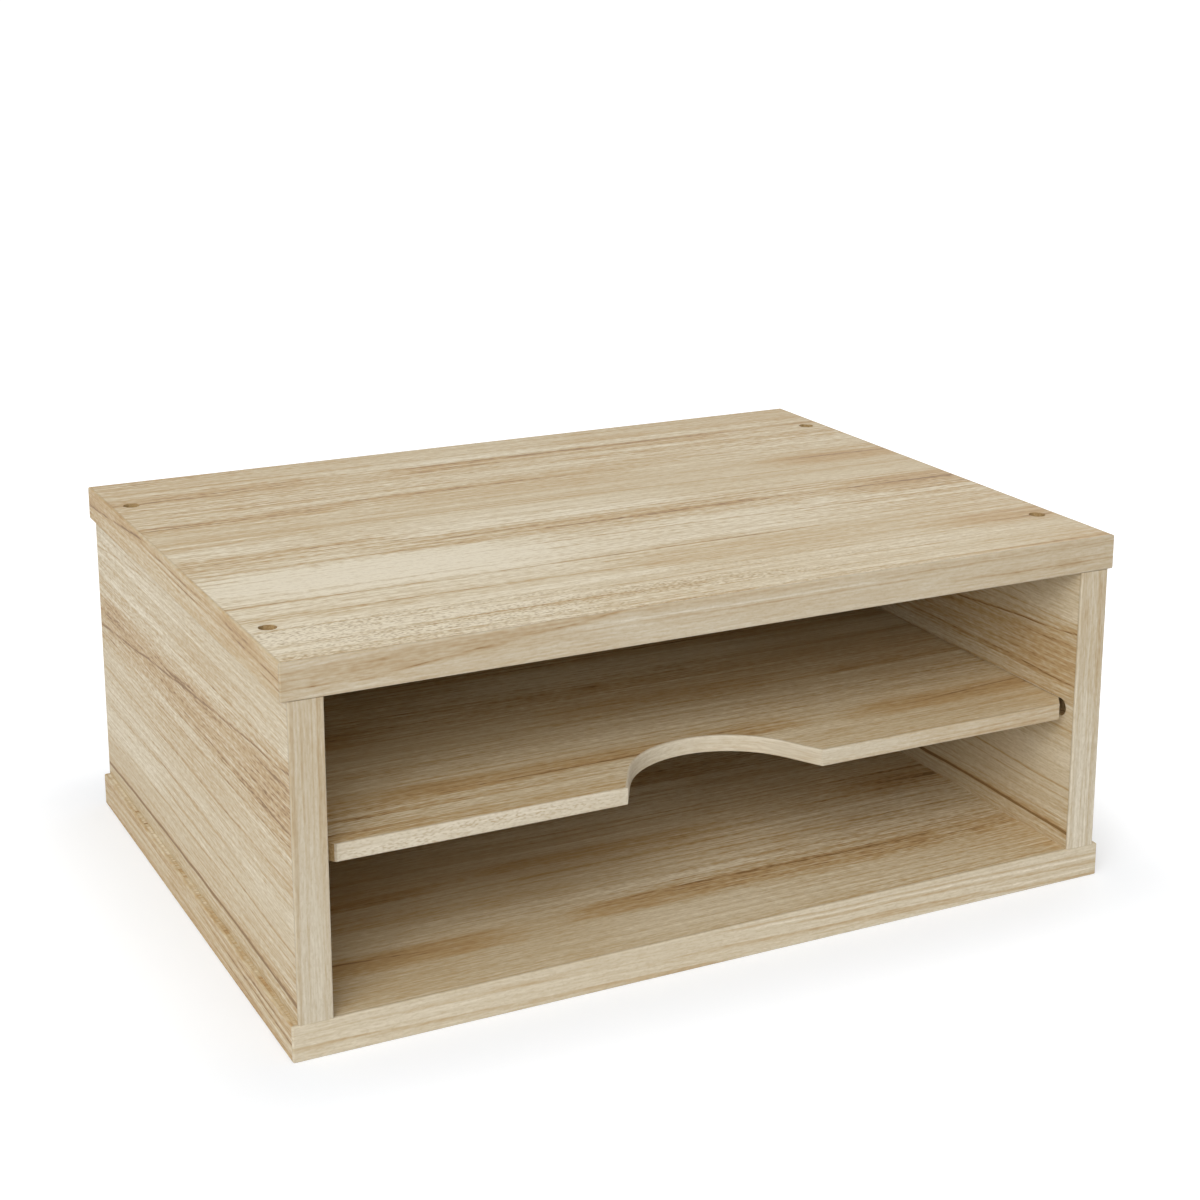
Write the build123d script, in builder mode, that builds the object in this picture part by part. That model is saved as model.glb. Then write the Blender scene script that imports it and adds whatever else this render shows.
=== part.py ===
from build123d import *
import os
from math import cos, radians, sin, tan

# Two-bay desktop mail sorter. +X is to the right, +Y to the back, +Z up,
# with the origin at the centre of the underside.

# Overall size
overall_width = 343.0
overall_depth = 254.0
overall_height = 144.0

# Boards: thick ones for the top and bottom, the sides, and thin ones for shelf and back
panel_thickness = 13.7
side_thickness = 12.7
thin_board = 6.6

# The top and bottom reach past the sides by this much
side_inset = 2.4

# Edge bands glued round the boards, with their outer edges rounded
band_thickness = 1.0
band_round_share = 0.6

# Stacking peg holes through the top and bottom, over the middle of the sides
peg_hole_diameter = 6.7
peg_hole_inset = 38.1

# Wooden dowels that join the sides to the top and bottom
dowel_diameter = 6.0
dowel_length = 26.0
dowel_in_panel = 9.0
dowel_pitch = 64.0
dowel_count = 3
dowel_bevel_share = 0.12
dowel_play = 0.1
dowel_end_room = 1.0

# Back panel, held in grooves all round
back_inset = 6.0
back_groove_depth = 4.5
back_play = 0.1

# Shelf groove in each side, with a half-round front end
shelf_groove_depth = 4.5
shelf_groove_stop = 5.6
shelf_play = 0.3
shelf_end_play = 0.4

# Shelf: its front corners taper back and enter the grooves a little behind their round ends
shelf_setback = 4.2
shelf_rear_gap = 3.0
shelf_entry_gap = 1.3
shelf_taper_angle = 55.0

# Finger notch: two straight flanks joined by one arc that both are tangent to
notch_width = 82.4
notch_depth = 33.3
notch_flank_angle = 60.0

# Cuts run past the faces that they open by this much
overrun = 2.0

# Places worked out from the sizes above
front_y = -overall_depth / 2
back_y = overall_depth / 2
side_height = overall_height - 2 * panel_thickness
top_z = overall_height - panel_thickness
side_outer_x = overall_width / 2 - side_inset
side_inner_x = side_outer_x - side_thickness
side_mid_x = (side_outer_x + side_inner_x) / 2
band_round = band_round_share * band_thickness
core_depth = overall_depth - 2 * band_thickness
peg_hole_pitch = overall_depth - 2 * peg_hole_inset
dowel_in_side = dowel_length - dowel_in_panel

back_panel_y = back_y - back_inset - thin_board / 2
back_groove_width = thin_board + 2 * back_play
back_panel_width = 2 * (side_inner_x + back_groove_depth - back_play)
back_panel_height = side_height + 2 * (back_groove_depth - back_play)
back_panel_front_y = back_panel_y - thin_board / 2

shelf_middle_z = overall_height / 2
shelf_groove_height = thin_board + 2 * shelf_play
shelf_groove_front_y = front_y + shelf_groove_stop + shelf_groove_height / 2
shelf_groove_length = back_panel_y - shelf_groove_front_y

shelf_bottom_z = shelf_middle_z - thin_board / 2
shelf_front_y = front_y + shelf_setback
shelf_back_y = back_panel_front_y - shelf_rear_gap
shelf_tongue_x = side_inner_x + shelf_groove_depth - shelf_end_play
shelf_taper_slope = tan(radians(shelf_taper_angle))
shelf_entry_y = shelf_groove_front_y + shelf_entry_gap
shelf_corner_x = side_inner_x - (shelf_entry_y - shelf_front_y) / shelf_taper_slope
shelf_taper_y = shelf_front_y + (shelf_tongue_x - shelf_corner_x) * shelf_taper_slope

notch_sine = sin(radians(notch_flank_angle))
notch_cosine = cos(radians(notch_flank_angle))
notch_radius = (notch_width / 2 * notch_sine - notch_depth * notch_cosine) / (1 - notch_cosine)
notch_centre_y = shelf_front_y + notch_depth - notch_radius


def outer_edges(part, inner_face):
    """Edges of a band that do not lie on the face glued to its board."""
    glued = inner_face.edges()
    return [edge for edge in part.edges() if edge not in glued]


def panel_core(label, inner_z, inward):
    """Board of the top or bottom: peg holes through it, dowel holes and a groove in its inner face."""
    with BuildPart() as panel:
        with BuildSketch(Plane.XY.offset(inner_z)):
            Rectangle(overall_width - 2 * band_thickness, core_depth)
            with GridLocations(2 * side_mid_x, peg_hole_pitch, 2, 2):
                Circle(peg_hole_diameter / 2, mode=Mode.SUBTRACT)
        extrude(amount=-inward * panel_thickness)
        with BuildSketch(Plane.XY.offset(inner_z)):
            with GridLocations(2 * side_mid_x, dowel_pitch, 2, dowel_count):
                Circle(dowel_diameter / 2 + dowel_play)
        extrude(amount=-inward * (dowel_in_panel + dowel_end_room), mode=Mode.SUBTRACT)
        with BuildSketch(Plane.XY.offset(inner_z)):
            with Locations((0, back_panel_y)):
                Rectangle(back_panel_width + 2 * back_play, back_groove_width)
        extrude(amount=-inward * back_groove_depth, mode=Mode.SUBTRACT)
    panel.part.label = label
    return panel.part


def panel_long_band(label, base_z, facing):
    """Band on the front (facing -1) or back (+1) of a panel, running over the ends of the short bands."""
    with BuildPart() as band:
        with BuildSketch(Plane.XY.offset(base_z)):
            with Locations((0, facing * (overall_depth - band_thickness) / 2)):
                Rectangle(overall_width, band_thickness)
        extrude(amount=panel_thickness)
        glued_face = band.faces().sort_by(Axis.Y)[0 if facing > 0 else -1]
        fillet(outer_edges(band, glued_face), band_round)
    band.part.label = label
    return band.part


def panel_short_band(label, base_z, facing):
    """Band on the left (facing -1) or right (+1) end of a panel, between the long bands."""
    with BuildPart() as band:
        with BuildSketch(Plane.XY.offset(base_z)):
            with Locations((facing * (overall_width - band_thickness) / 2, 0)):
                Rectangle(band_thickness, core_depth)
        extrude(amount=panel_thickness)
        outer_face = band.faces().sort_by(Axis.X)[-1 if facing > 0 else 0]
        fillet(outer_face.edges().filter_by(Axis.Y), band_round)
    band.part.label = label
    return band.part


def side_core(label, facing):
    """Left (facing -1) or right (+1) side board with its grooves and the dowel holes in its ends."""
    inner_plane = Plane(origin=(facing * side_inner_x, 0, 0), x_dir=(0, 1, 0), z_dir=(1, 0, 0))
    with BuildPart() as side:
        with BuildSketch(Plane.XY.offset(panel_thickness)):
            with Locations((facing * side_mid_x, 0)):
                Rectangle(side_thickness, core_depth)
        extrude(amount=side_height)
        with BuildSketch(inner_plane):
            with Locations((shelf_groove_front_y, shelf_middle_z)):
                Circle(shelf_groove_height / 2)
            with Locations((shelf_groove_front_y + shelf_groove_length / 2, shelf_middle_z)):
                Rectangle(shelf_groove_length, shelf_groove_height)
        extrude(amount=facing * shelf_groove_depth, mode=Mode.SUBTRACT)
        with BuildSketch(inner_plane):
            with Locations((back_panel_y, shelf_middle_z)):
                Rectangle(back_groove_width, side_height)
        extrude(amount=facing * back_groove_depth, mode=Mode.SUBTRACT)
        for end_z, into_side in ((panel_thickness, 1), (top_z, -1)):
            with BuildSketch(Plane.XY.offset(end_z)):
                with Locations((facing * side_mid_x, 0)):
                    with GridLocations(0, dowel_pitch, 1, dowel_count):
                        Circle(dowel_diameter / 2 + dowel_play)
            extrude(amount=into_side * (dowel_in_side + dowel_end_room), mode=Mode.SUBTRACT)
    side.part.label = label
    return side.part


def side_band(label, facing, end):
    """Upright band on the front (end -1) or back (+1) edge of a side."""
    with BuildPart() as band:
        with BuildSketch(Plane.XY.offset(panel_thickness)):
            with Locations((facing * side_mid_x, end * (overall_depth - band_thickness) / 2)):
                Rectangle(side_thickness, band_thickness)
        extrude(amount=side_height)
        outer_face = band.faces().sort_by(Axis.Y)[-1 if end > 0 else 0]
        fillet(outer_face.edges().filter_by(Axis.Z), band_round)
    band.part.label = label
    return band.part


def dowel_row(label, facing, joint_z, into_side):
    """Dowels across one joint, with bevelled ends; into_side is the way from panel to side along Z."""
    middle_z = joint_z + into_side * (dowel_in_side - dowel_in_panel) / 2
    with BuildPart() as dowels:
        with Locations((facing * side_mid_x, 0, middle_z)):
            with GridLocations(0, dowel_pitch, 1, dowel_count):
                Cylinder(dowel_diameter / 2, dowel_length)
        chamfer(dowels.edges().filter_by(GeomType.CIRCLE), dowel_bevel_share * dowel_diameter)
    dowels.part.label = label
    return dowels.part


def shelf_plan(band_room):
    """Shelf seen from above, cut back by band_room along its front edge and round the finger notch."""
    plan_front_y = shelf_front_y + band_room
    corner_x = shelf_corner_x + band_room / shelf_taper_slope
    radius = notch_radius + band_room
    tangent_x = radius * notch_sine
    tangent_y = notch_centre_y + radius * notch_cosine
    mouth_y = plan_front_y - overrun
    mouth_x = (radius - notch_cosine * (mouth_y - notch_centre_y)) / notch_sine
    with BuildSketch() as plan:
        with BuildLine():
            Polyline(
                (-corner_x, plan_front_y),
                (corner_x, plan_front_y),
                (shelf_tongue_x, shelf_taper_y),
                (shelf_tongue_x, shelf_back_y),
                (-shelf_tongue_x, shelf_back_y),
                (-shelf_tongue_x, shelf_taper_y),
                close=True,
            )
        make_face()
        with BuildLine():
            Polyline((-tangent_x, tangent_y), (-mouth_x, mouth_y), (mouth_x, mouth_y), (tangent_x, tangent_y))
            ThreePointArc((tangent_x, tangent_y), (0, notch_centre_y + radius), (-tangent_x, tangent_y))
        make_face(mode=Mode.SUBTRACT)
    return plan.sketch


pieces = [
    panel_core("top_panel", top_z, -1),
    panel_core("bottom_panel", panel_thickness, 1),
]

for panel_name, panel_base_z in (("top", top_z), ("bottom", 0)):
    for place, direction in (("front", -1), ("back", 1)):
        pieces.append(panel_long_band(f"{panel_name}_{place}_edge_band", panel_base_z, direction))
    for place, direction in (("left", -1), ("right", 1)):
        pieces.append(panel_short_band(f"{panel_name}_{place}_edge_band", panel_base_z, direction))

for hand, direction in (("left", -1), ("right", 1)):
    pieces.append(side_core(f"{hand}_side_panel", direction))
    pieces.append(side_band(f"{hand}_side_front_edge_band", direction, -1))
    pieces.append(side_band(f"{hand}_side_back_edge_band", direction, 1))
    pieces.append(dowel_row(f"top_{hand}_dowels", direction, top_z, -1))
    pieces.append(dowel_row(f"bottom_{hand}_dowels", direction, panel_thickness, 1))

# Back panel
with BuildPart() as back_panel:
    with BuildSketch(Plane.XZ.offset(-back_panel_front_y)):
        with Locations((0, shelf_middle_z)):
            Rectangle(back_panel_width, back_panel_height)
    extrude(amount=-thin_board)
back_panel.part.label = "back_panel"
pieces.append(back_panel.part)

# Shelf board, cut back along the front and round the notch for its band
with BuildPart() as shelf:
    with BuildSketch(Plane.XY.offset(shelf_bottom_z)):
        add(shelf_plan(band_thickness))
    extrude(amount=thin_board)
shelf.part.label = "shelf"
pieces.append(shelf.part)

# Band along the shelf's front edge and round the notch, in one strip, with its outer edges rounded
with BuildPart() as shelf_band:
    with BuildSketch(Plane.XY.offset(shelf_bottom_z)):
        add(shelf_plan(0))
        add(shelf_plan(band_thickness), mode=Mode.SUBTRACT)
    extrude(amount=thin_board)
    upright_faces = shelf_band.faces().filter_by(Axis.Z, reverse=True)
    long_faces = upright_faces.sort_by(SortBy.AREA)[2:]
    outer_faces = long_faces.filter_by(lambda face: face.normal_at().Y < 0)
    fillet(outer_faces.edges().filter_by(Axis.Z, reverse=True), band_round)
shelf_band.part.label = "shelf_front_edge_band"
pieces.append(shelf_band.part)

os.makedirs("parts", exist_ok=True)
for piece in pieces:
    export_step(piece, f"parts/{piece.label}.step")
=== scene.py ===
from collections import namedtuple
from math import radians

import bpy
import numpy as np
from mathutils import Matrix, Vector


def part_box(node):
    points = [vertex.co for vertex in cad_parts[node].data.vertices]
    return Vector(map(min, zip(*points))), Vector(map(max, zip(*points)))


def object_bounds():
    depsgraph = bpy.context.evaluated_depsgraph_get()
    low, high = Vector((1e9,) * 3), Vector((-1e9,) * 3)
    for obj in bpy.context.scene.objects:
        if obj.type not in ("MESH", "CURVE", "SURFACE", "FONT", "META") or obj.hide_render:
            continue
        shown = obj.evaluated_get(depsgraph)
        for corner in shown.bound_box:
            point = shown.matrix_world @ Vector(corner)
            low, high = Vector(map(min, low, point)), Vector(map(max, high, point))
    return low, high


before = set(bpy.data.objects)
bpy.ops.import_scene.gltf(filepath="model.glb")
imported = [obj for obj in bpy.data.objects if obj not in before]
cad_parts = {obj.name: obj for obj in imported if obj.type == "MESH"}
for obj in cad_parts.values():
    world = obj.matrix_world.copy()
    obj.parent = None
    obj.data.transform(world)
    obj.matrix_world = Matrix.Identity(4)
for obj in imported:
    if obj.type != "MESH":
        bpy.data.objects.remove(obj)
cad_low, cad_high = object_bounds()

# Figures in the wood are in millimetres, and Blender's coordinates in metres
mm = 0.001

# Thickness of the finish over a board's brown core, and the share of it in which no core shows
finish_skin = 0.3 * mm
closed_skin = 0.4

# Glue line where an edge band meets its board: its width, the share of it that is full, and its strength
glue_line = 0.5 * mm
full_glue = 0.5
glue_strength = 0.3

# Oak finish from the palest wood to the darkest lines, in a warm and a grey sort, as screen colours,
# and the tone from zero to one at which each shade lies. Even in the grey sort the dark shades go so
# far to the warm one. The middle tone is that of plain wood
# The warm sort's palest shade is partly painted sheen, made whiter for the pale patch on the top
warm_oak = ((229, 218, 194), (203, 185, 151), (188, 158, 113), (175, 142, 98), (136, 105, 66))
grey_oak = ((223, 214, 197), (198, 187, 165), (182, 166, 139), (166, 147, 117), (136, 114, 84))
shade_places = (0.0, 0.40, 0.67, 0.86, 1.0)
dark_warmth = (0.0, 0.0, 0.1, 0.4, 1.0)
middle_tone = 0.40

# Pores, glue, the boards' core and the dowels' beech, as screen colours
pore_brown = (160, 136, 101)
glue_brown = (150, 124, 88)
core_brown = (190, 163, 116)
core_dark = (154, 125, 82)
beech_pale = (208, 174, 132)
beech_fleck = (168, 126, 86)

# Grain of the oak: noise in lumps of this length and width in millimetres, with so much finer detail,
# how strong it is, and its own place in the depth of the noise. The sway and the waver move other
# lines, by millimetres
Grain = namedtuple("Grain", "length width detail strength seed")
sway = Grain(330.0, 100.0, 2.0, 12.0, 0.0)
waver = Grain(45.0, 25.0, 2.0, 2.4, 1.7)
bands = Grain(450.0, 12.0, 2.0, 0.34, 3.1)
rings = Grain(2500.0, 30.0, 2.0, 0.16, 7.7)
ring_count = 13.0
hairs = Grain(110.0, 1.4, 2.0, 0.70, 11.3)
calm = Grain(400.0, 62.0, 2.0, 0.8, 13.9)
fibres = Grain(13.0, 0.67, 1.0, 0.75, 17.9)
breaks = Grain(31.0, 9.0, 2.0, 0.5, 19.3)
flecks = Grain(3.6, 0.8, 0.0, 0.50, 23.9)
pores = Grain(1.5, 0.6, 0.0, 0.14, 31.7)

# Noise goes from zero to one about this middle, and grain rises from none to full between two values
noise_middle = 0.5
ring_rise = (0.45, 1.0)
calm_rise = (0.34, 0.66)
break_rise = (0.2, 0.6)
pore_rise = (0.56, 0.66)

# A ring's mean darkness, the fine grain's strength where it is calmest, and the pores' in a patch
ring_mean = 0.3
calmest = 0.6
patch_pores = 0.5

# Depth of the noise: how far it goes per metre through a board, and the edge bands' places in it
board_depth_rate = 400.0
first_band_seed = 120.0
band_seed_step = 13.0

# Relief of the oak: heights of fibres and hairs, depth of pores, and in metres how much they stand for
fibre_height = 0.5
hair_height = 0.4
pore_depth = 0.8
board_relief = 0.00012
band_relief = 0.0001

# Shine of all the wood, roughness of the oak finish and how far its hairs change it, and how much
# rougher the core is
wood_shine = 0.25
oak_roughness = 0.50
hair_roughness = 0.2
core_rougher = 0.3

# Fibre of the boards' core: lumps per metre, the noise's detail and roughness, and its rise to pale
core_lumps = 900.0
core_detail = 3.0
core_coarseness = 0.7
core_rise = (0.3, 0.75)

# Beech of the dowels: lumps per metre across and along a pin, the flecks' rise, how far both darken the
# wood, its roughness and how far the fibres change it, and its relief in metres
beech_fibre_lumps = (1800.0, 60.0)
beech_fleck_lumps = (1500.0, 260.0)
beech_fleck_rise = (0.58, 0.66)
beech_fleck_share = 0.7
beech_fibre_share = 0.5
beech_roughness = 0.6
beech_fibre_roughness = 0.2
beech_relief = 0.0001

# A streak is a line of darker wood, or of paler wood where its strength is below zero, in millimetres
# on its board: where it starts and ends along the grain, where its line lies across the grain at those
# two ends, how far the middle bows, how wide it is and to which side, and how strong it is. A zone has
# the same values, and is as strong all over. A few streaks and zones are painted light or shade, as
# said where they stand
Streak = namedtuple("Streak", "start end first last bow width strength")
Figure = namedtuple("Figure", "streaks zones")
no_streak = Streak(0.0, 1.0, 0.0, 0.0, 0.0, 1.0, 0.0)

# A streak fades at each end over so many millimetres or so many widths, whichever is more, but at most
# over this share of its length
shortest_fade = 30.0
fade_widths = 2.5
most_fade = 0.35

# How a streak or a zone climbs and falls, in shares of its width from its line
Profile = namedtuple("Profile", "climb_from climb_to fall_from fall_to")
soft_side = Profile(-0.25, 0.0, 0.0, 1.0)
flat_band = Profile(-0.12, 0.12, 0.88, 1.12)

# On the top, along its width and across its depth from the middle
top_streaks = (
    Streak(-205, -95, 83.5, 95.5, 0, 1.4, 0.35),
    Streak(-20, 115, 96.5, 96, 0, -1.4, 0.25),
    Streak(-205, -85, 45.0, 49.0, 0, -1.4, 0.32),
    Streak(-70, 65, 54.5, 54, 0, -1.3, 0.25),
    Streak(-60, 60, 31, 31, 0, 3.0, -0.16),
    Streak(-60, 60, 24.5, 24, 0, 1.3, 0.25),
    Streak(105, 205, 36.5, 34.5, 0, -3.2, 0.20),
    Streak(-80, 25, 18.5, 20, 0, 1.2, 0.30),
    Streak(-15, 130, 21.5, 18.5, 0, 1.2, 0.30),
    Streak(-205, -115, 11.5, 13.5, 0, -1.4, 0.30),
    Streak(-205, -112, 18.0, 20.5, 0, 2.4, -0.25),
    Streak(-205, -120, -8.5, -6.5, 0, 1.2, 0.25),
    Streak(-90, 120, -15.5, -8.5, 1.5, -1.5, 0.28),
    Streak(98, 205, -17.5, -18.5, 0, -3.0, 0.22),
    Streak(108, 205, -31.5, -33, 0, 1.4, 0.35),
    Streak(-205, -95, -29.5, -26, 0, -1.5, 0.35),
    Streak(95, 190, -44, -44.5, 0, -3.0, -0.24),
    Streak(-205, 85, -65.2, -63.0, 0.8, -1.3, 0.55),
    Streak(-205, -130, -62.8, -61.5, 0, 1.0, 0.35),
    Streak(92, 205, -66.5, -65.5, 0, 1.4, 0.42),
    Streak(92, 205, -73.5, -72.5, 0, -1.6, -0.20),
    Streak(92, 205, -79.0, -79.5, 0, 1.4, 0.24),
    Streak(-190, 20, -78.5, -80.0, 0, -1.6, 0.34),
    Streak(105, 205, -86.5, -89.5, 0, -3.0, 0.26),
    Streak(-160, 60, -97.5, -99.0, 0, 1.2, 0.35),
    Streak(-125, -20, -108.8, -107.5, 0, 1.3, 0.40),
    Streak(40, 130, -104.5, -105.5, 0, 1.3, 0.40),
    Streak(-10, 110, -112.8, -113.6, 0, 1.3, 0.35),
    Streak(20, 205, -120.5, -124.5, 0, -2.6, 0.35),
)
top_zones = (
    Streak(-260, -70, 98, 100, 0, 29, 0.08),
    Streak(-240, -15, -92, -93, 0, -36, -0.20),
    Streak(-260, 10, -107, -108, 0, -6, 0.12),
    Streak(-280, 20, -117.5, -118.5, 0, -12, 0.18),
    Streak(-60, 60, 99, 99, 0, 26, -0.10),
    Streak(85, 280, 97, 97, 0, 32, 0.07),
    Streak(-260, -60, 83, 89, 0, 14, 0.27),
    Streak(-60, 130, 85, 86, 0, 12, 0.24),
    Streak(85, 260, 84, 84, 0, 13, 0.14),
    Streak(-60, 60, 59, 59, 0, 24, -0.06),
    Streak(-260, -80, 52, 56, 0, 13, 0.07),
    Streak(95, 260, 58.5, 58, 0, 4, -0.14),
    Streak(-260, -70, 40, 43, 0, 8, 0.20),
    Streak(-260, -90, 24, 27, 0, 15, 0.09),
    Streak(-90, 65, 38, 37, 0, 18, 0.15),
    Streak(90, 270, 41, 38.5, 0, -17, 0.26),
    Streak(-110, 75, 21, 19, 0, -29, -0.12),
    Streak(-100, 70, 5, 3, 0, -12, -0.09),
    Streak(-270, -100, 11, 9, 0, -15, -0.12),
    Streak(-110, 95, -10, -9, 0, -12, 0.15),
    Streak(90, 270, -9, -10, 0, -22, 0.24),
    Streak(-270, -115, -6, -6, 0, -19, 0.08),
    Streak(-400, 115, -33, -33, 0, -29, -0.15),
    # Pale wood at the top's front left, made paler still as a painted sheen
    Streak(-210, -10, -26, -26, 0, -36, -0.30),
    Streak(-230, -10, -66, -66, 0, -12, -0.16),
    Streak(-240, 10, -82, -83, 0, -10, -0.18),
    Streak(-45, 105, -73, -74, 0, -18, 0.06),
    Streak(95, 280, -76, -76, 0, -20, 0.20),
    Streak(95, 280, -46, -46, 0, -17, 0.06),
    Streak(-300, 165, -96, -97, 0, -34, -0.12),
    Streak(120, 280, -115, -118, 0, -20, 0.12),
    Streak(100, 420, -130, -130, 0, 260, 0.07),
)
top_figure = Figure(top_streaks, top_zones)

# On the sides, along their depth and up their height
side_streaks = (
    Streak(-157, 157, 106.5, 79, 2.0, 1.2, 0.55),
    Streak(-45, 30, 99, 93, 1.0, 1.8, 0.30),
    Streak(-157, 30, 82.0, 84.8, 0.6, -1.2, 0.35),
    Streak(-140, 10, 80.3, 82.5, 0.4, -1.5, -0.25),
    Streak(-157, 75, 108.8, 105, 0.5, 1.1, 0.30),
    Streak(25, 157, 127, 115.5, 0, 1.2, 0.35),
    Streak(-60, 157, 131, 128, 0, -1.4, 0.30),
    Streak(-157, 60, 64.2, 62, 0, 1.1, 0.35),
    Streak(-25, 60, 49.5, 50.3, 0, 1.3, 0.35),
    Streak(20, 150, 49.5, 47, 0, 1.1, 0.30),
    Streak(-157, 50, 38, 41, 0.5, 1.1, 0.35),
    Streak(-157, 70, 34.3, 34.8, 1.0, -1.1, 0.35),
    Streak(-70, 15, 28, 28.4, 0, 1.3, 0.30),
    Streak(75, 150, 33, 32.4, 0, 1.3, 0.30),
    Streak(60, 157, 80.5, 79, 0, -1.8, 0.35),
    Streak(-157, 60, 76.5, 75.5, 0, 1.1, 0.30),
    Streak(-30, 150, 55.5, 54.5, 0, 1.1, 0.25),
    Streak(-100, 100, 70.5, 70.0, 0.5, -1.1, 0.25),
    Streak(-157, 90, 24.5, 25.5, 0.5, 1.1, 0.25),
    Streak(-157, 157, 19.2, 17.4, 2.6, 1.7, 1.30),
)
side_zones = (
    # Painted shade: darker towards the front end, which evens out the lamps' stronger light there
    Streak(-300, -30, 140, 140, 0, -140, 0.05),
    Streak(-300, 300, 98, 98, 0, -18, 0.18),
    Streak(-260, 130, 112.3, 97.6, 0, -9, 0.16),
    Streak(-60, 55, 99, 95.5, 0, -5, 0.10),
    Streak(-260, -60, 106, 101, 0, -20, 0.12),
    Streak(70, 260, 98, 96, 0, -9, 0.08),
    Streak(-300, 300, 80, 80, 0, -17, 0.05),
    Streak(-20, 300, 122, 119, 0, -15, -0.08),
    Streak(20, 300, 47, 42, 0, -11, -0.10),
    Streak(-300, -50, 55.5, 53.5, 0, -6, -0.08),
    Streak(-300, 300, 62, 60, 0, -34, -0.03),
    Streak(-300, 300, 22, 20.5, 2.0, -12, 0.15),
)
side_figure = Figure(side_streaks, side_zones)
# The right side is painted paler all over: painted light, for light bounced onto its inner face
painted_bounce_light = Streak(-300, 300, 140, 140, 0, -140, -0.08)
bounce_lit_side_figure = Figure(side_streaks, side_zones + (painted_bounce_light,))

# On the edge bands, along them and from their low or left edge
top_front_figure = Figure((
    Streak(-400, 400, 4, 4, 0, 60, 0.20),
    Streak(60, 400, 4, 4, 0, 60, 0.05),
    Streak(-200, -5, -2.6, 17.6, 0.3, -1.3, 0.15),
    Streak(-200, -5, -2.2, 18.0, 0.3, 9.0, 0.10),
    Streak(-210, -110, 4.6, 2.8, 0, 0.9, 0.25),
    Streak(-80, 90, 8.4, 8.8, 0, -0.9, 0.16),
    Streak(-65, 75, 9.4, 9.8, 0, 0.8, -0.22),
    Streak(80, 205, 5.0, 4.2, 0, 0.8, 0.18),
    Streak(50, 205, 10.6, 11.8, 0, -1.1, 0.18),
), ())
bottom_front_figure = Figure((
    Streak(-400, -10, 4, 4, 0, 60, -0.05),
    Streak(-205, 10, 6.4, 1.0, 0, -2.2, 0.26),
    Streak(-210, -60, 10.8, 9.0, 0, 1.6, 0.18),
    Streak(-130, -40, 12.0, 7.5, 0, 2.4, 0.12),
    Streak(-40, 125, 7.2, 3.6, 0, -1.8, 0.26),
    Streak(-20, 205, 12.6, 9.4, 0, -1.4, 0.26),
    Streak(-10, 205, 11.0, 7.6, 0, 1.2, -0.20),
    Streak(15, 205, 9.6, 5.0, 0, 2.0, 0.28),
    Streak(60, 205, 4.6, 3.0, 0, 1.2, -0.16),
    Streak(40, 205, 3.0, 0.6, 0, 2.0, 0.26),
), ())
top_left_figure = Figure((
    Streak(-400, 400, 4, 4, 0, 60, 0.17),
    Streak(25, 157, 13.6, 3.0, 0, 1.2, 0.42),
    Streak(25, 157, 13.6, 3.0, 0, 11.0, 0.12),
    Streak(0, 157, 11.0, 0.8, 0, -4.0, -0.12),
    Streak(-115, -50, 11.5, 12.2, 0, -7.0, 0.26),
    Streak(-157, 60, 7.6, 8.6, 0, -1.1, 0.38),
    Streak(-60, 62, 9.3, 9.6, 0, 0.9, -0.25),
    Streak(-60, 50, 10.6, 10.4, 0, 1.0, 0.30),
    Streak(-75, 80, 6.6, 6.8, 0, -6.5, -0.16),
    Streak(-157, -40, 4.2, 4.6, 0, 1.0, 0.28),
    Streak(-157, -60, 3.6, 3.8, 0, -2.6, -0.10),
), ())
bottom_left_figure = Figure((
    Streak(-400, 400, 4, 4, 0, 60, 0.16),
    Streak(-157, -5, 9.4, 13.0, 0, -1.6, 0.34),
    Streak(-157, -5, 7.6, 11.2, 0, 1.4, -0.24),
    Streak(-157, -10, 5.8, 9.2, 0, 1.5, 0.36),
    Streak(-157, 20, 4.0, 6.8, 0, 1.4, -0.20),
    Streak(-110, 50, 2.4, 5.2, 0, 1.7, 0.26),
    Streak(0, 157, 9.8, 11.6, 0, 1.6, 0.18),
    Streak(10, 120, 5.6, 6.4, 0, -3.0, -0.12),
    Streak(-157, 157, 2.2, 1.8, 0, -2.6, 0.22),
), ())
shelf_front_figure = Figure((
    Streak(-300, -10, 3, 3, 0, 40, -0.08),
    Streak(10, 300, 3, 3, 0, 40, 0.24),
    Streak(-175, -60, 4.2, 3.4, 0, 0.9, 0.18),
    Streak(60, 175, 2.6, 4.6, 0, 0.9, 0.20),
    Streak(40, 175, 1.2, 2.4, 0, -0.9, 0.18),
), ())
left_upright_figure = Figure((
    Streak(-400, 400, 4, 4, 0, 60, 0.02),
    # Painted shade: darker towards the top, as under the top's overhang
    Streak(20, 300, 4, 4, 0, 60, 0.19),
    Streak(-30, 170, 1.6, 1.2, 0, -3.0, 0.20),
    Streak(-30, 175, 9.6, 10.2, 0, 3.4, 0.20),
    Streak(0, 140, 4.4, 4.0, 0, 0.9, 0.16),
    Streak(30, 175, 7.6, 8.4, 0, -0.9, 0.16),
), ())
right_upright_figure = Figure((
    Streak(-400, 400, 4, 4, 0, 60, -0.06),
    # Painted shade: darker towards the top, as under the top's overhang
    Streak(20, 300, 4, 4, 0, 60, 0.23),
    Streak(-30, 175, 2.4, 2.8, 0, -2.8, 0.14),
    Streak(-30, 175, 9.2, 8.8, 0, 3.0, 0.15),
    Streak(-10, 120, 5.4, 6.0, 0, 0.8, 0.18),
    Streak(40, 175, 4.0, 3.6, 0, -0.9, 0.16),
    Streak(-30, 110, 7.4, 7.0, 0, 0.9, 0.16),
), ())

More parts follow.
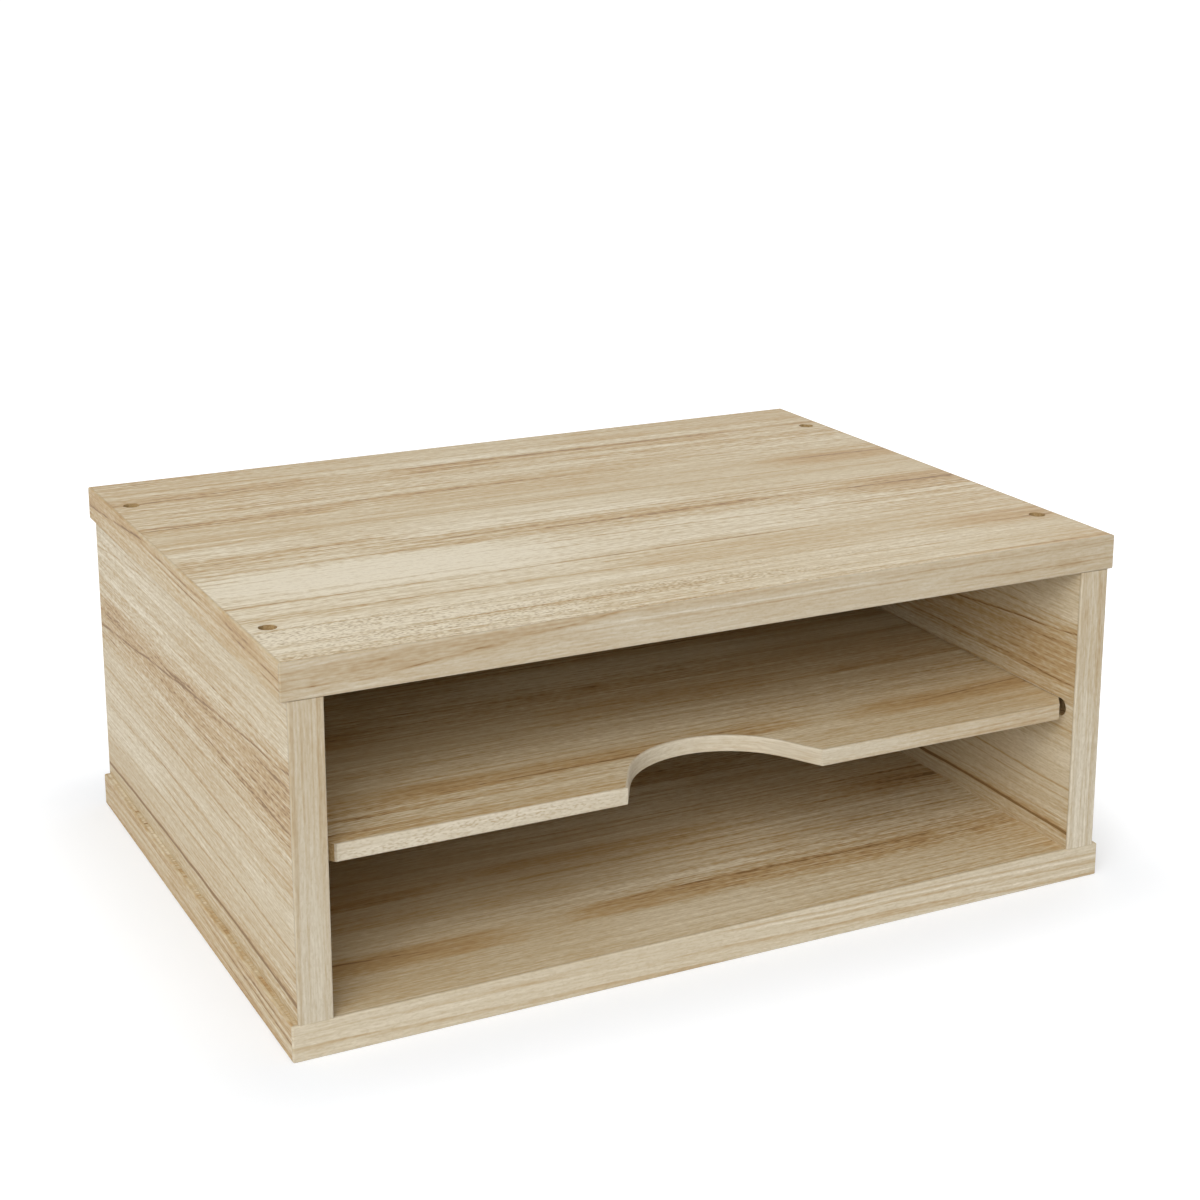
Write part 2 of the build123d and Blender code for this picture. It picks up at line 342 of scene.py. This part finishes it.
# Patches of close pores, in millimetres: they thin out between two places along the grain and end
# across it. In a patch they lie in rows: lumps per metre along and across the grain, their place in the
# noise and its rise
PorePatch = namedtuple("PorePatch", "full_to gone_at edge fade strength")
top_pores = PorePatch(-20.0, 160.0, -97.0, 10.0, 0.8)
shelf_pores = PorePatch(-100.0, -20.0, 4.0, 3.0, 0.7)
row_lumps = (11.0, 150.0)
row_seed = 5.5
row_rise = (0.30, 0.60)

# Look of a piece: its figure, its warmth from the grey sort of oak at zero to the warm one at one, how
# strong its fine grain is, and its patch of pores if it has one
Look = namedtuple("Look", "figure warmth contrast patch", defaults=(None,))

# Camera: its place in metres, how far it looks right of straight ahead and below level in degrees, its
# lens and sensor in millimetres, and the share of the frame by which the picture moves up
camera_place = (-0.3819, -0.7833, 0.3824)
camera_turn = 26.506
camera_dip = 13.9
camera_lens = 66.21
camera_sensor = 36.0
camera_shift = -0.12

# Surroundings: what is seen of them, and the strength of their even light
plain_white = (1.0, 1.0, 1.0, 1.0)
room_strength = 0.29

# Floor: its size in metres, its matte colour, its own glow and the share of glow that shows beside the
# part and away from it, and how far from the part's base the shadow reaches in metres
floor_size = 40.0
floor_white = (0.90, 0.92, 0.95, 1.0)
floor_glow = 1.38
near_glow_share = 0.28
far_glow_share = 0.75
shadow_reach = 0.10

# Soft boxes: places, points aimed at and sizes in metres, and watts
SoftBox = namedtuple("SoftBox", "name place aim size watts")
soft_boxes = (
    SoftBox("front_left_softbox", (-2.19, -2.80, 2.10), (0.0, 0.0, 0.07), 2.8, 81.0),
    SoftBox("front_softbox", (-0.50, -2.86, 2.95), (0.0, 0.0, 0.07), 2.8, 27.0),
    SoftBox("left_softbox", (-2.97, -1.58, 2.40), (0.0, 0.0, 0.07), 2.8, 35.0),
    SoftBox("back_right_softbox", (3.04, 2.13, 1.78), (0.0, 0.0, 0.07), 2.8, 16.0),
    SoftBox("overhead_softbox", (0.2, 0.1, 1.8), (0.0, 0.0, 0.1), 1.6, 3.4),
)


def linear(colour):
    """Screen colour from 0 to 255 as linear light, with an alpha of one."""
    shares = [channel / 255 for channel in colour]
    return tuple(s / 12.92 if s <= 0.04045 else ((s + 0.055) / 1.055) ** 2.4 for s in shares) + (1.0,)


class Wire:
    """An output socket in a tree of nodes. Arithmetic on wires adds the Math nodes that work it out."""

    def __init__(self, tree, socket=None):
        self.tree = tree
        self.socket = socket

    def node(self, kind, settings=None, inputs=None, output=0):
        """Adds a node, its settings first and then its sockets' values or links, and gives one output."""
        made = self.tree.nodes.new(kind)
        for name, value in (settings or {}).items():
            if name == "stops":
                fill_ramp(made.color_ramp, value)
            else:
                setattr(made, name, value)
        for name, value in (inputs or {}).items():
            if isinstance(value, Wire):
                self.tree.links.new(value.socket, made.inputs[name])
            else:
                made.inputs[name].default_value = value
        return Wire(self.tree, made.outputs[output] if made.outputs else None)

    def math(self, operation, *values):
        return self.node("ShaderNodeMath", {"operation": operation}, dict(enumerate(values)))

    def __add__(self, other):
        return self.math("ADD", self, other)

    __radd__ = __add__

    def __sub__(self, other):
        return self.math("SUBTRACT", self, other)

    def __rsub__(self, other):
        return self.math("SUBTRACT", other, self)

    def __mul__(self, other):
        return self.math("MULTIPLY", self, other)

    __rmul__ = __mul__

    def __truediv__(self, other):
        return self.math("DIVIDE", self, other)

    def rise(self, low, high):
        """Zero up to low, one from high on, and a smooth step between them."""
        ends = {"Value": self, "From Min": low, "From Max": high}
        return self.node("ShaderNodeMapRange", {"interpolation_type": "SMOOTHSTEP"}, ends)

    def tint(self, under, over):
        """Colour that goes from under to over as this value goes from zero to one.

        A Mix node's colours are its inputs 6 and 7 and its output 2.
        """
        return self.node("ShaderNodeMix", {"data_type": "RGBA"}, {0: self, 6: under, 7: over}, 2)

    def vector(self, operation, *values, output=0):
        sockets = dict(enumerate(values))
        return self.node("ShaderNodeVectorMath", {"operation": operation}, sockets, output)

    def rises(self, low, high):
        """Three smooth steps at once, on the three parts of a vector.

        A Map Range node's vectors are its inputs 6 to 8 and its output 1.
        """
        kind = {"data_type": "FLOAT_VECTOR", "interpolation_type": "SMOOTHSTEP"}
        return self.node("ShaderNodeMapRange", kind, {6: self, 7: low, 8: high}, 1)

    def noise(self, along, across, depth, detail=2.0, roughness=0.5):
        """Noise of about one lump per unit along each of its three ways."""
        spot = self.node("ShaderNodeCombineXYZ", inputs={0: along, 1: across, 2: depth})
        return self.node("ShaderNodeTexNoise", inputs={
            "Vector": spot, "Scale": 1.0, "Detail": detail, "Roughness": roughness})


def fill_ramp(ramp, stops):
    """Sets a colour ramp to the given pairs of place and colour."""
    while len(ramp.elements) < len(stops):
        ramp.elements.new(1.0)
    for element, (place, colour) in zip(ramp.elements, stops):
        element.position = place
        element.color = colour


def blank_tree(holder):
    """Wire to draw the nodes of a material or a world from, with no node there yet."""
    holder.use_nodes = True
    holder.node_tree.nodes.clear()
    return Wire(holder.node_tree)


def new_finish(name):
    """Empty material, a wire to draw its nodes from, and X, Y and Z in the object's own coordinates."""
    material = bpy.data.materials.new(name)
    pen = blank_tree(material)
    place = pen.node("ShaderNodeTexCoord", output="Object")
    first = pen.node("ShaderNodeSeparateXYZ", inputs={0: place})
    xyz = [Wire(pen.tree, socket) for socket in first.socket.node.outputs]
    return material, pen, xyz


def coat(pen, colour, roughness, height, relief):
    """Matte wood surface of the given colour, roughness and relief, as the material's output."""
    normal = pen.node("ShaderNodeBump", inputs={"Strength": 1.0, "Distance": relief, "Height": height})
    surface = pen.node("ShaderNodeBsdfPrincipled", inputs={
        "Base Color": colour, "Roughness": roughness, "Normal": normal, "Specular IOR Level": wood_shine})
    pen.node("ShaderNodeOutputMaterial", inputs={"Surface": surface})


def dress(node, material):
    """Gives a CAD node one material all over."""
    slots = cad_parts[node].data.materials
    slots.clear()
    slots.append(material)


def streak_tone(pen, along, across, streaks, profile):
    """Sum of the streaks' strengths, worked out three streaks at a time in the three parts of a vector.

    With t from zero to one along a streak, its line lies at first + (last - first) t + 4 bow t (1 - t).
    Across it the strength climbs and falls as the profile says, and it fades at the ends. Streaks of no
    strength make up the last three.
    """
    none, whole = (0.0,) * 3, (1.0,) * 3
    climb_from, climb_to, fall_from, fall_to = ((share,) * 3 for share in profile)
    across_mm = across / mm
    total = 0.0
    for place in range(0, len(streaks), 3):
        trio = (streaks[place:place + 3] + (no_streak,) * 2)[:3]
        start, end, first, last, bow, width, strength = np.array(trio).T
        length = end - start
        fade = np.minimum(most_fade, np.maximum(shortest_fade, fade_widths * abs(width)) / length)
        t = pen.vector("MULTIPLY_ADD", along, tuple(1 / (length * mm)), tuple(-start / length))
        bend = pen.vector("MULTIPLY_ADD", t, tuple(-4 * bow), tuple(last - first + 4 * bow))
        line = pen.vector("MULTIPLY_ADD", t, bend, tuple(first))
        away = pen.vector("SUBTRACT", across_mm, line)
        share = pen.vector("DIVIDE", away, tuple(width))
        body = pen.vector("SUBTRACT", share.rises(climb_from, climb_to), share.rises(fall_from, fall_to))
        ends = pen.vector("SUBTRACT", t.rises(none, tuple(fade)), t.rises(tuple(1 - fade), whole))
        full = pen.vector("MULTIPLY", body, ends)
        total = total + pen.vector("DOT_PRODUCT", full, tuple(strength), output="Value")
    return total


def turned_streak(streak):
    """The same streak on a board that is turned half round in its plane."""
    start, end, first, last, bow, width, strength = streak
    return Streak(-end, -start, -last, -first, -bow, -width, strength)


def mirrored_streak(streak, height):
    """The same streak, upside down across a board or a band of the given height."""
    start, end, first, last, bow, width, strength = streak
    return Streak(start, end, height - first, height - last, -bow, -width, strength)


def turned(figure):
    """The same figure on a board that is turned half round in its plane."""
    return Figure(*(tuple(turned_streak(streak) for streak in lines) for lines in figure))


def mirrored(figure, height=0.0):
    """The same figure, upside down across a board or a band of the given height."""
    return Figure(*(tuple(mirrored_streak(streak, height) for streak in lines) for lines in figure))


def lumps(pen, along, across, depth, grain):
    """Noise in lumps of the grain's size, from zero to one."""
    lengths = along / (grain.length * mm)
    widths = across / (grain.width * mm)
    return pen.noise(lengths, widths, depth + grain.seed, grain.detail)


def oak_ramp(warmth):
    """Stops from the palest to the darkest oak, between the grey sort at zero and the warm one at one."""
    share = warmth + (1 - warmth) * np.array(dark_warmth)
    shades = np.array(grey_oak) + share[:, None] * (np.array(warm_oak) - np.array(grey_oak))
    return tuple((place, linear(shade)) for place, shade in zip(shade_places, shades))


def pore_share(pen, along, across, patch):
    """How strong a patch of pores is, in loose rows along the grain."""
    rows = 1 - across.rise(patch.edge * mm, (patch.edge + patch.fade) * mm)
    loose = pen.noise(along * row_lumps[0], across * row_lumps[1], row_seed).rise(*row_rise)
    return rows * loose * (1 - along.rise(patch.full_to * mm, patch.gone_at * mm)) * patch.strength


def oak_figure(pen, along, across, depth, look):
    """Colour, relief and hairs of oak: zones, streaks, bands, lines and pores that run along a face.

    The growth rings are the level lines of a slow noise: each darkens gradually and ends at a sharp line.
    The other grain is noise stretched along the board. It follows one lane, the place across the board
    bent by a slow sway. A few of the zones and streaks are painted light or shade rather than wood.
    """
    lane = across + (lumps(pen, along, across, depth, sway) - noise_middle) * (sway.strength * mm)
    place = across + (lumps(pen, along, across, depth, waver) - noise_middle) * (waver.strength * mm)
    lines = (bands, hairs, fibres, flecks)
    band, hair, fibre, fleck = (lumps(pen, along, lane, depth, grain) for grain in lines)
    growth = lumps(pen, along, lane, depth, rings) * ring_count
    ring = pen.math("FRACT", growth).rise(*ring_rise) - ring_mean
    busy = lumps(pen, along, lane, depth, calm).rise(*calm_rise) * calm.strength + calmest
    unbroken = lumps(pen, along, lane, depth, breaks).rise(*break_rise)
    broken = unbroken * breaks.strength + (1.0 - breaks.strength)
    fine = ring * rings.strength + (hair - noise_middle) * hairs.strength
    fine = fine + (fibre - noise_middle) * fibres.strength + (fleck - noise_middle) * flecks.strength
    tone = middle_tone + (band - noise_middle) * (bands.strength * look.contrast)
    tone = tone + fine * busy * look.contrast
    tone = tone + streak_tone(pen, along, place, look.figure.streaks, soft_side) * broken
    tone = tone + streak_tone(pen, along, place, look.figure.zones, flat_band)
    pore_zone = pore_share(pen, along, across, look.patch) if look.patch else 0.0
    speck = lumps(pen, along, across, depth, pores)
    tone = tone + (speck - noise_middle) * pore_zone
    pale_to_dark = pen.node("ShaderNodeValToRGB", {"stops": oak_ramp(look.warmth)}, {"Fac": tone})
    pore = speck.rise(*pore_rise) * (pores.strength + pore_zone * patch_pores)
    colour = pore.tint(pale_to_dark, linear(pore_brown))
    height = fibre * fibre_height + hair * hair_height - pore * pore_depth
    return colour, height, hair


def core_colour(pen, xyz):
    """Brown pressed fibre of a board's core: small light and dark lumps."""
    x, y, z = (place * core_lumps for place in xyz)
    grit = pen.noise(x, y, z, core_detail, core_coarseness)
    return grit.rise(*core_rise).tint(linear(core_dark), linear(core_brown))


def below_skin(through, low, high):
    """One where a surface lies deeper in its board than the finish on the faces at low and high."""
    inside = through.math("MINIMUM", through - low, high - through)
    return inside.rise(closed_skin * finish_skin, finish_skin)


def near_edge(place, low, high):
    """One within a glue line's width of either end of a board."""
    inside = place.math("MINIMUM", place - low, high - place)
    return 1 - inside.rise(full_glue * glue_line, glue_line)


def board_finish(node, name, axes, glued, seed, look):
    """Oak-faced board: axes names the ways along, across and through it, glued those that end at a band.

    The grain changes from one face to the other, because the depth of its noise follows the way through.
    """
    material, pen, xyz = new_finish(name)
    lows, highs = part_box(node)
    along, across, through = (xyz["XYZ".index(axis)] for axis in axes)
    low, high = (corner["XYZ".index(axes[2])] for corner in (lows, highs))
    depth = (high - through) * board_depth_rate + seed
    colour, height, hair = oak_figure(pen, along, across, depth, look)
    for axis in ("XYZ".index(letter) for letter in glued):
        seam = near_edge(xyz[axis], lows[axis], highs[axis]) * glue_strength
        colour = seam.tint(colour, linear(glue_brown))
    core = below_skin(through, low, high)
    roughness = oak_roughness + (hair - noise_middle) * hair_roughness + core * core_rougher
    coat(pen, core.tint(colour, core_colour(pen, xyz)), roughness, height, board_relief)
    dress(node, material)


def band_finish(node, name, axes, edge, seed, look):
    """Oak edge band: axes names the ways along its grain and across it, where edge is its low edge."""
    material, pen, xyz = new_finish(name)
    along, across = (xyz["XYZ".index(axis)] for axis in axes)
    colour, height, hair = oak_figure(pen, along, across - edge, seed, look)
    roughness = oak_roughness + (hair - noise_middle) * hair_roughness
    coat(pen, colour, roughness, height, band_relief)
    dress(node, material)


def dowel_finish(name):
    """Plain beech: fine fibres along the pin and short dark flecks."""
    material, pen, (x, y, z) = new_finish(name)
    across, along = beech_fibre_lumps
    fibre = pen.noise(x * across, y * across, z * along)
    across, along = beech_fleck_lumps
    fleck = pen.noise(x * across, y * across, z * along, detail=0.0).rise(*beech_fleck_rise)
    tone = fleck * beech_fleck_share + (fibre - noise_middle) * beech_fibre_share
    colour = tone.tint(linear(beech_pale), linear(beech_fleck))
    roughness = beech_roughness + (fibre - noise_middle) * beech_fibre_roughness
    coat(pen, colour, roughness, fibre, beech_relief)
    return material


def dress_boards():
    """Top, bottom, sides, shelf and back, each with its own figure and its own place in the noise.

    The bottom is the top's board turned over, and the shelf's figure is the top's turned half round;
    both take its painted sheen with them.
    """
    board_finish("top_panel", "top_oak", "XYZ", "XY", 2.0, Look(top_figure, 1.0, 1.1, top_pores))
    board_finish("bottom_panel", "bottom_oak", "XYZ", "XY", 41.0, Look(mirrored(top_figure), 1.0, 1.1))
    board_finish("left_side_panel", "left_oak", "YZX", "Y", 60.0, Look(side_figure, 0.75, 0.9))
    # The right side's paler figure is painted bounce light on its inner face
    board_finish("right_side_panel", "right_oak", "YZX", "Y", 60.0, Look(bounce_lit_side_figure, 0.85, 0.65))
    board_finish("shelf", "shelf_oak", "XYZ", "", 83.0, Look(turned(top_figure), 1.0, 1.1))
    board_finish("back_panel", "back_oak", "XZY", "", 97.0, Look(side_figure, 0.8, 0.9))


def dress_bands():
    """Edge bands: long ones along X, short ones along Y, upright ones along Z, and the shelf's."""
    panel_edge = (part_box("top_panel")[1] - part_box("top_panel")[0]).z / mm
    side_edge = (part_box("left_side_panel")[1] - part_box("left_side_panel")[0]).x / mm
    looks = {
        "top_front_edge_band": Look(top_front_figure, 0.0, 0.4),
        "top_back_edge_band": Look(mirrored(bottom_front_figure, panel_edge), 0.5, 0.6),
        "top_left_edge_band": Look(top_left_figure, 0.9, 0.8),
        "top_right_edge_band": Look(mirrored(bottom_left_figure, panel_edge), 0.8, 0.8),
        "bottom_front_edge_band": Look(bottom_front_figure, 0.3, 0.55),
        "bottom_back_edge_band": Look(mirrored(top_front_figure, panel_edge), 0.5, 0.4),
        "bottom_left_edge_band": Look(bottom_left_figure, 0.85, 0.8),
        "bottom_right_edge_band": Look(mirrored(top_left_figure, panel_edge), 0.8, 0.8),
        # The upright bands, front and back, carry painted shade that darkens them towards the top
        "left_side_front_edge_band": Look(left_upright_figure, 0.0, 0.6),
        "left_side_back_edge_band": Look(mirrored(right_upright_figure, side_edge), 0.5, 0.6),
        "right_side_front_edge_band": Look(right_upright_figure, 0.1, 0.5),
        "right_side_back_edge_band": Look(mirrored(left_upright_figure, side_edge), 0.5, 0.6),
        "shelf_front_edge_band": Look(shelf_front_figure, 0.1, 0.5, shelf_pores),
    }
    for number, (node, look) in enumerate(looks.items()):
        low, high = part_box(node)
        size = high - low
        along = max(range(3), key=lambda axis: size[axis])
        across = 0 if along == 2 else 2
        axes = "XYZ"[along] + "XYZ"[across]
        name = node.replace("edge_band", "band_oak")
        seed = first_band_seed + band_seed_step * number
        band_finish(node, name, axes, low[across], seed, look)


def dress_dowels():
    """The joints' hidden dowels share one finish."""
    material = dowel_finish("dowel_beech")
    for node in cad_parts:
        if node.endswith("_dowels"):
            dress(node, material)


def backdrop_share(pen):
    """One for what the camera sees, also in gloss or through glass, and zero for light on the part."""
    path = pen.node("ShaderNodeLightPath").socket.node.outputs
    rays = ("Is Camera Ray", "Is Glossy Ray", "Is Transmission Ray")
    plain, gloss, glass = (Wire(pen.tree, path[ray]) for ray in rays)
    return pen.math("MAXIMUM", pen.math("MAXIMUM", plain, gloss), glass)


def make_floor():
    """White floor at the height that the part stands on, a square about the origin.

    What the camera sees of it is a mix of matte white, which takes the part's shadow, and glow. The share
    of glow rises with the distance from the part's base, so a faint shadow stays close to the part.
    """
    half = floor_size / 2
    corners = [[-half, -half, 0.0], [half, -half, 0.0], [half, half, 0.0], [-half, half, 0.0]]
    mesh = bpy.data.meshes.new("floor")
    mesh.from_pydata(corners, [], [[0, 1, 2, 3]])
    floor = bpy.data.objects.new("floor", mesh)
    bpy.context.scene.collection.objects.link(floor)
    material = bpy.data.materials.new("white_floor")
    pen = blank_tree(material)
    matte = pen.node("ShaderNodeBsdfDiffuse", inputs={"Color": floor_white})
    glow = pen.node("ShaderNodeEmission", inputs={"Color": plain_white, "Strength": floor_glow})
    spot = pen.node("ShaderNodeTexCoord", output="Object")
    beyond = pen.vector("SUBTRACT", pen.vector("ABSOLUTE", spot), tuple(cad_high))
    beside = pen.vector("MAXIMUM", beyond, (0.0, 0.0, 0.0))
    far = pen.vector("LENGTH", beside, output="Value").rise(0.0, shadow_reach)
    seen = backdrop_share(pen) * (far * (far_glow_share - near_glow_share) + near_glow_share)
    mixed = pen.node("ShaderNodeMixShader", inputs={0: seen, 1: matte, 2: glow})
    pen.node("ShaderNodeOutputMaterial", inputs={"Surface": mixed})
    mesh.materials.append(material)


def make_room():
    """White surroundings: plain white where they are seen, and an even light on the part."""
    world = bpy.data.worlds.new("white_room")
    pen = blank_tree(world)
    light = pen.node("ShaderNodeBackground", inputs={"Color": plain_white, "Strength": room_strength})
    white = pen.node("ShaderNodeBackground", inputs={"Color": plain_white, "Strength": 1.0})
    mixed = pen.node("ShaderNodeMixShader", inputs={0: backdrop_share(pen), 1: light, 2: white})
    pen.node("ShaderNodeOutputWorld", inputs={"Surface": mixed})
    bpy.context.scene.world = world


def make_lamps():
    """Large soft boxes, each turned to the point that it is aimed at."""
    for box in soft_boxes:
        lamp = bpy.data.lights.new(box.name, "AREA")
        lamp.shape = "DISK"
        lamp.size = box.size
        lamp.energy = box.watts
        holder = bpy.data.objects.new(box.name, lamp)
        holder.location = box.place
        way = Vector(box.aim) - Vector(box.place)
        holder.rotation_euler = way.to_track_quat("-Z", "Y").to_euler()
        bpy.context.scene.collection.objects.link(holder)


def make_camera():
    """Camera at the photograph's viewing angle. One turned 90 degrees about X looks level."""
    lens = bpy.data.cameras.new("camera")
    lens.lens = camera_lens
    lens.sensor_width = camera_sensor
    lens.shift_y = camera_shift
    holder = bpy.data.objects.new("camera", lens)
    holder.location = camera_place
    holder.rotation_euler = (radians(90.0 - camera_dip), 0.0, radians(-camera_turn))
    bpy.context.scene.collection.objects.link(holder)
    bpy.context.scene.camera = holder


dress_boards()
dress_bands()
dress_dowels()
make_floor()
make_room()
make_lamps()
make_camera()
bpy.context.scene.view_settings.view_transform = "Standard"
